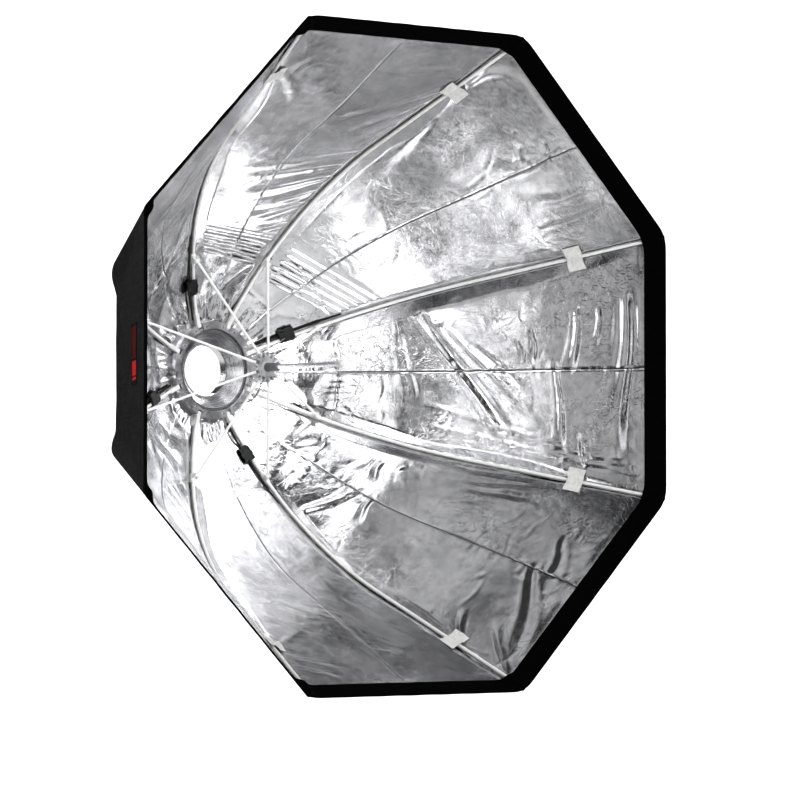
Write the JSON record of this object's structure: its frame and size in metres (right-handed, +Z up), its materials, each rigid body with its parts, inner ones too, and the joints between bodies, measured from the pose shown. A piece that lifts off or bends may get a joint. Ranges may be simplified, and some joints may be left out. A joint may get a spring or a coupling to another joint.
{
  "type": "studio softbox",
  "caption": "Folding octagonal studio softbox: fabric canopy on bent ribs hinged to a bayonet speedring, opened and shut by stretchers from a sliding hub.",
  "frame": {"origin": "on the axis, in the plane where the bayonet insert seats on a flash head", "axes": "-Y out of the open front, +Y towards the flash head, +Z up"},
  "size_m": [1.2012, 0.6651, 1.2012],
  "materials": {
    "dish_aluminium": "satin",
    "bright_steel": "brushed",
    "dark_steel": "blackened",
    "cast_grey": "cast, satin painted",
    "black_plastic": "matte",
    "hub_grey": "satin moulded",
    "shaft_silver": "satin",
    "white_rod": "glossy glass fibre",
    "white_nylon": "satin moulded",
    "shell_black": "black ripstop nylon outside",
    "lining_silver": "metallised silver lining, crinkled",
    "band_black": "black loop pile band",
    "tab_white": "translucent white nylon",
    "webbing_black": "black woven webbing with moulded clip",
    "label_red": "printed patch"
  },
  "bodies": {
    "insert": {"insert_dish": "dish_aluminium", "bayonet_ring": "bright_steel", "insert_circlip": "bright_steel"},
    "speedring": {"speedring_housing": "cast_grey", "ring_cover": "cast_grey", "hinge_pins": "bright_steel", "cover_screws": "bright_steel", "fabric_clamp_ring": "black_plastic", "lock_wire": "dark_steel"},
    "hub": {"hub_carrier": "hub_grey", "hub_cap": "hub_grey", "shaft_sleeve": "hub_grey", "pull_shaft": "shaft_silver", "shaft_cap": "hub_grey"},
    "rib_1": {"rib_1": "white_rod", "rib_fittings_1": "white_nylon", "strap_1": "webbing_black"},
    "rib_2": {"rib_2": "white_rod", "rib_fittings_2": "white_nylon"},
    "rib_3": {"rib_3": "white_rod", "rib_fittings_3": "white_nylon", "strap_3": "webbing_black"},
    "rib_4": {"rib_4": "white_rod", "rib_fittings_4": "white_nylon"},
    "rib_5": {"rib_5": "white_rod", "rib_fittings_5": "white_nylon", "strap_5": "webbing_black"},
    "rib_6": {"rib_6": "white_rod", "rib_fittings_6": "white_nylon"},
    "rib_7": {"rib_7": "white_rod", "rib_fittings_7": "white_nylon", "strap_7": "webbing_black"},
    "rib_8": {"rib_8": "white_rod", "rib_fittings_8": "white_nylon"},
    "stretcher_1": {"stretcher_1": "white_rod"},
    "stretcher_2": {"stretcher_2": "white_rod"},
    "stretcher_3": {"stretcher_3": "white_rod"},
    "stretcher_4": {"stretcher_4": "white_rod"},
    "stretcher_5": {"stretcher_5": "white_rod"},
    "stretcher_6": {"stretcher_6": "white_rod"},
    "stretcher_7": {"stretcher_7": "white_rod"},
    "stretcher_8": {"stretcher_8": "white_rod"},
    "gore_1a": {"gore_1a": "shell_black"},
    "gore_1b": {"gore_1b": "shell_black"},
    "gore_2a": {"gore_2a": "shell_black"},
    "gore_2b": {"gore_2b": "shell_black"},
    "gore_3a": {"gore_3a": "shell_black"},
    "gore_3b": {"gore_3b": "shell_black"},
    "gore_4a": {"gore_4a": "shell_black"},
    "gore_4b": {"gore_4b": "shell_black", "label_upper": "label_red"},
    "gore_5a": {"gore_5a": "shell_black", "label_lower": "label_red"},
    "gore_5b": {"gore_5b": "shell_black"},
    "gore_6a": {"gore_6a": "shell_black"},
    "gore_6b": {"gore_6b": "shell_black"},
    "gore_7a": {"gore_7a": "shell_black"},
    "gore_7b": {"gore_7b": "shell_black"},
    "gore_8a": {"gore_8a": "shell_black"},
    "gore_8b": {"gore_8b": "shell_black"}
  },
  "joints": [
    {"name": "ring_turn", "type": "hinge", "parent": "insert", "child": "speedring", "pos_m": [0, -0.028, 0], "axis": [0, -1, 0], "continuous": true},
    {"name": "hub_slide", "type": "slide", "parent": "speedring", "child": "hub", "axis": [0, -1, 0], "range_m": [0, 0.15945]},
    {"name": "rib_hinge_1", "type": "hinge", "parent": "speedring", "child": "rib_1", "pos_m": [0.08315, -0.028, 0.03444], "axis": [0.3827, 0, -0.9239], "range_deg": [0, 44.5]},
    {"name": "rib_hinge_2", "type": "hinge", "parent": "speedring", "child": "rib_2", "pos_m": [0.03444, -0.028, 0.08315], "axis": [0.9239, 0, -0.3827], "range_deg": [0, 44.5]},
    {"name": "rib_hinge_3", "type": "hinge", "parent": "speedring", "child": "rib_3", "pos_m": [-0.03444, -0.028, 0.08315], "axis": [0.9239, 0, 0.3827], "range_deg": [0, 44.5]},
    {"name": "rib_hinge_4", "type": "hinge", "parent": "speedring", "child": "rib_4", "pos_m": [-0.08315, -0.028, 0.03444], "axis": [0.3827, 0, 0.9239], "range_deg": [0, 44.5]},
    {"name": "rib_hinge_5", "type": "hinge", "parent": "speedring", "child": "rib_5", "pos_m": [-0.08315, -0.028, -0.03444], "axis": [-0.3827, 0, 0.9239], "range_deg": [0, 44.5]},
    {"name": "rib_hinge_6", "type": "hinge", "parent": "speedring", "child": "rib_6", "pos_m": [-0.03444, -0.028, -0.08315], "axis": [-0.9239, 0, 0.3827], "range_deg": [0, 44.5]},
    {"name": "rib_hinge_7", "type": "hinge", "parent": "speedring", "child": "rib_7", "pos_m": [0.03444, -0.028, -0.08315], "axis": [-0.9239, 0, -0.3827], "range_deg": [0, 44.5]},
    {"name": "rib_hinge_8", "type": "hinge", "parent": "speedring", "child": "rib_8", "pos_m": [0.08315, -0.028, -0.03444], "axis": [-0.3827, 0, -0.9239], "range_deg": [0, 44.5]},
    {"name": "stretcher_pivot_1", "type": "hinge", "parent": "rib_1", "child": "stretcher_1", "pos_m": [0.2023, -0.09154, 0.0838], "axis": [0.3827, 0, -0.9239], "range_deg": [-76.3, 0]},
    {"name": "stretcher_pivot_2", "type": "hinge", "parent": "rib_2", "child": "stretcher_2", "pos_m": [0.0838, -0.09154, 0.2023], "axis": [0.9239, 0, -0.3827], "range_deg": [-76.3, 0]},
    {"name": "stretcher_pivot_3", "type": "hinge", "parent": "rib_3", "child": "stretcher_3", "pos_m": [-0.0838, -0.09154, 0.2023], "axis": [0.9239, 0, 0.3827], "range_deg": [-76.3, 0]},
    {"name": "stretcher_pivot_4", "type": "hinge", "parent": "rib_4", "child": "stretcher_4", "pos_m": [-0.2023, -0.09154, 0.0838], "axis": [0.3827, 0, 0.9239], "range_deg": [-76.3, 0]},
    {"name": "stretcher_pivot_5", "type": "hinge", "parent": "rib_5", "child": "stretcher_5", "pos_m": [-0.2023, -0.09154, -0.0838], "axis": [-0.3827, 0, 0.9239], "range_deg": [-76.3, 0]},
    {"name": "stretcher_pivot_6", "type": "hinge", "parent": "rib_6", "child": "stretcher_6", "pos_m": [-0.0838, -0.09154, -0.2023], "axis": [-0.9239, 0, 0.3827], "range_deg": [-76.3, 0]},
    {"name": "stretcher_pivot_7", "type": "hinge", "parent": "rib_7", "child": "stretcher_7", "pos_m": [0.0838, -0.09154, -0.2023], "axis": [-0.9239, 0, -0.3827], "range_deg": [-76.3, 0]},
    {"name": "stretcher_pivot_8", "type": "hinge", "parent": "rib_8", "child": "stretcher_8", "pos_m": [0.2023, -0.09154, -0.0838], "axis": [-0.3827, 0, -0.9239], "range_deg": [-76.3, 0]},
    {"name": "panel_fold_1a", "type": "hinge", "parent": "rib_1", "child": "gore_1a", "pos_m": [0.08315, -0.028, 0.03444], "axis": [-0.7031, -0.1572, 0.6936], "range_deg": [0, 23.21], "deforming": ["gore_1a"]},
    {"name": "panel_fold_1b", "type": "hinge", "parent": "rib_1", "child": "gore_1b", "pos_m": [0.08315, -0.028, 0.03444], "axis": [0.0067, 0.1572, 0.9876], "range_deg": [0, 23.21], "deforming": ["gore_1b"]},
    {"name": "panel_fold_2a", "type": "hinge", "parent": "rib_2", "child": "gore_2a", "pos_m": [0.03444, -0.028, 0.08315], "axis": [-0.9876, -0.1572, -0.0067], "range_deg": [0, 23.21], "deforming": ["gore_2a"]},
    {"name": "panel_fold_2b", "type": "hinge", "parent": "rib_2", "child": "gore_2b", "pos_m": [0.03444, -0.028, 0.08315], "axis": [-0.6936, 0.1572, 0.7031], "range_deg": [0, 23.21], "deforming": ["gore_2b"]},
    {"name": "panel_fold_3a", "type": "hinge", "parent": "rib_3", "child": "gore_3a", "pos_m": [-0.03444, -0.028, 0.08315], "axis": [-0.6936, -0.1572, -0.7031], "range_deg": [0, 23.21], "deforming": ["gore_3a"]},
    {"name": "panel_fold_3b", "type": "hinge", "parent": "rib_3", "child": "gore_3b", "pos_m": [-0.03444, -0.028, 0.08315], "axis": [-0.9876, 0.1572, 0.0067], "range_deg": [0, 23.21], "deforming": ["gore_3b"]},
    {"name": "panel_fold_4a", "type": "hinge", "parent": "rib_4", "child": "gore_4a", "pos_m": [-0.08315, -0.028, 0.03444], "axis": [0.0067, -0.1572, -0.9876], "range_deg": [0, 23.21], "deforming": ["gore_4a"]},
    {"name": "panel_fold_4b", "type": "hinge", "parent": "rib_4", "child": "gore_4b", "pos_m": [-0.08315, -0.028, 0.03444], "axis": [-0.7031, 0.1572, -0.6936], "range_deg": [0, 23.21], "deforming": ["gore_4b"]},
    {"name": "panel_fold_5a", "type": "hinge", "parent": "rib_5", "child": "gore_5a", "pos_m": [-0.08315, -0.028, -0.03444], "axis": [0.7031, -0.1572, -0.6936], "range_deg": [0, 23.21], "deforming": ["gore_5a"]},
    {"name": "panel_fold_5b", "type": "hinge", "parent": "rib_5", "child": "gore_5b", "pos_m": [-0.08315, -0.028, -0.03444], "axis": [-0.0067, 0.1572, -0.9876], "range_deg": [0, 23.21], "deforming": ["gore_5b"]},
    {"name": "panel_fold_6a", "type": "hinge", "parent": "rib_6", "child": "gore_6a", "pos_m": [-0.03444, -0.028, -0.08315], "axis": [0.9876, -0.1572, 0.0067], "range_deg": [0, 23.21], "deforming": ["gore_6a"]},
    {"name": "panel_fold_6b", "type": "hinge", "parent": "rib_6", "child": "gore_6b", "pos_m": [-0.03444, -0.028, -0.08315], "axis": [0.6936, 0.1572, -0.7031], "range_deg": [0, 23.21], "deforming": ["gore_6b"]},
    {"name": "panel_fold_7a", "type": "hinge", "parent": "rib_7", "child": "gore_7a", "pos_m": [0.03444, -0.028, -0.08315], "axis": [0.6936, -0.1572, 0.7031], "range_deg": [0, 23.21], "deforming": ["gore_7a"]},
    {"name": "panel_fold_7b", "type": "hinge", "parent": "rib_7", "child": "gore_7b", "pos_m": [0.03444, -0.028, -0.08315], "axis": [0.9876, 0.1572, -0.0067], "range_deg": [0, 23.21], "deforming": ["gore_7b"]},
    {"name": "panel_fold_8a", "type": "hinge", "parent": "rib_8", "child": "gore_8a", "pos_m": [0.08315, -0.028, -0.03444], "axis": [-0.0067, -0.1572, 0.9876], "range_deg": [0, 23.21], "deforming": ["gore_8a"]},
    {"name": "panel_fold_8b", "type": "hinge", "parent": "rib_8", "child": "gore_8b", "pos_m": [0.08315, -0.028, -0.03444], "axis": [0.7031, 0.1572, 0.6936], "range_deg": [0, 23.21], "deforming": ["gore_8b"]}
  ],
  "couplings": [
    {"joint": "rib_hinge_1", "follows": "hub_slide", "rad_per_m": 4.8709},
    {"joint": "rib_hinge_2", "follows": "hub_slide", "rad_per_m": 4.8709},
    {"joint": "rib_hinge_3", "follows": "hub_slide", "rad_per_m": 4.8709},
    {"joint": "rib_hinge_4", "follows": "hub_slide", "rad_per_m": 4.8709},
    {"joint": "rib_hinge_5", "follows": "hub_slide", "rad_per_m": 4.8709},
    {"joint": "rib_hinge_6", "follows": "hub_slide", "rad_per_m": 4.8709},
    {"joint": "rib_hinge_7", "follows": "hub_slide", "rad_per_m": 4.8709},
    {"joint": "rib_hinge_8", "follows": "hub_slide", "rad_per_m": 4.8709},
    {"joint": "stretcher_pivot_1", "follows": "hub_slide", "rad_per_m": -8.3514},
    {"joint": "stretcher_pivot_2", "follows": "hub_slide", "rad_per_m": -8.3514},
    {"joint": "stretcher_pivot_3", "follows": "hub_slide", "rad_per_m": -8.3514},
    {"joint": "stretcher_pivot_4", "follows": "hub_slide", "rad_per_m": -8.3514},
    {"joint": "stretcher_pivot_5", "follows": "hub_slide", "rad_per_m": -8.3514},
    {"joint": "stretcher_pivot_6", "follows": "hub_slide", "rad_per_m": -8.3514},
    {"joint": "stretcher_pivot_7", "follows": "hub_slide", "rad_per_m": -8.3514},
    {"joint": "stretcher_pivot_8", "follows": "hub_slide", "rad_per_m": -8.3514},
    {"joint": "panel_fold_1a", "follows": "hub_slide", "rad_per_m": 2.5402},
    {"joint": "panel_fold_1b", "follows": "hub_slide", "rad_per_m": 2.5402},
    {"joint": "panel_fold_2a", "follows": "hub_slide", "rad_per_m": 2.5402},
    {"joint": "panel_fold_2b", "follows": "hub_slide", "rad_per_m": 2.5402},
    {"joint": "panel_fold_3a", "follows": "hub_slide", "rad_per_m": 2.5402},
    {"joint": "panel_fold_3b", "follows": "hub_slide", "rad_per_m": 2.5402},
    {"joint": "panel_fold_4a", "follows": "hub_slide", "rad_per_m": 2.5402},
    {"joint": "panel_fold_4b", "follows": "hub_slide", "rad_per_m": 2.5402},
    {"joint": "panel_fold_5a", "follows": "hub_slide", "rad_per_m": 2.5402},
    {"joint": "panel_fold_5b", "follows": "hub_slide", "rad_per_m": 2.5402},
    {"joint": "panel_fold_6a", "follows": "hub_slide", "rad_per_m": 2.5402},
    {"joint": "panel_fold_6b", "follows": "hub_slide", "rad_per_m": 2.5402},
    {"joint": "panel_fold_7a", "follows": "hub_slide", "rad_per_m": 2.5402},
    {"joint": "panel_fold_7b", "follows": "hub_slide", "rad_per_m": 2.5402},
    {"joint": "panel_fold_8a", "follows": "hub_slide", "rad_per_m": 2.5402},
    {"joint": "panel_fold_8b", "follows": "hub_slide", "rad_per_m": 2.5402}
  ]
}
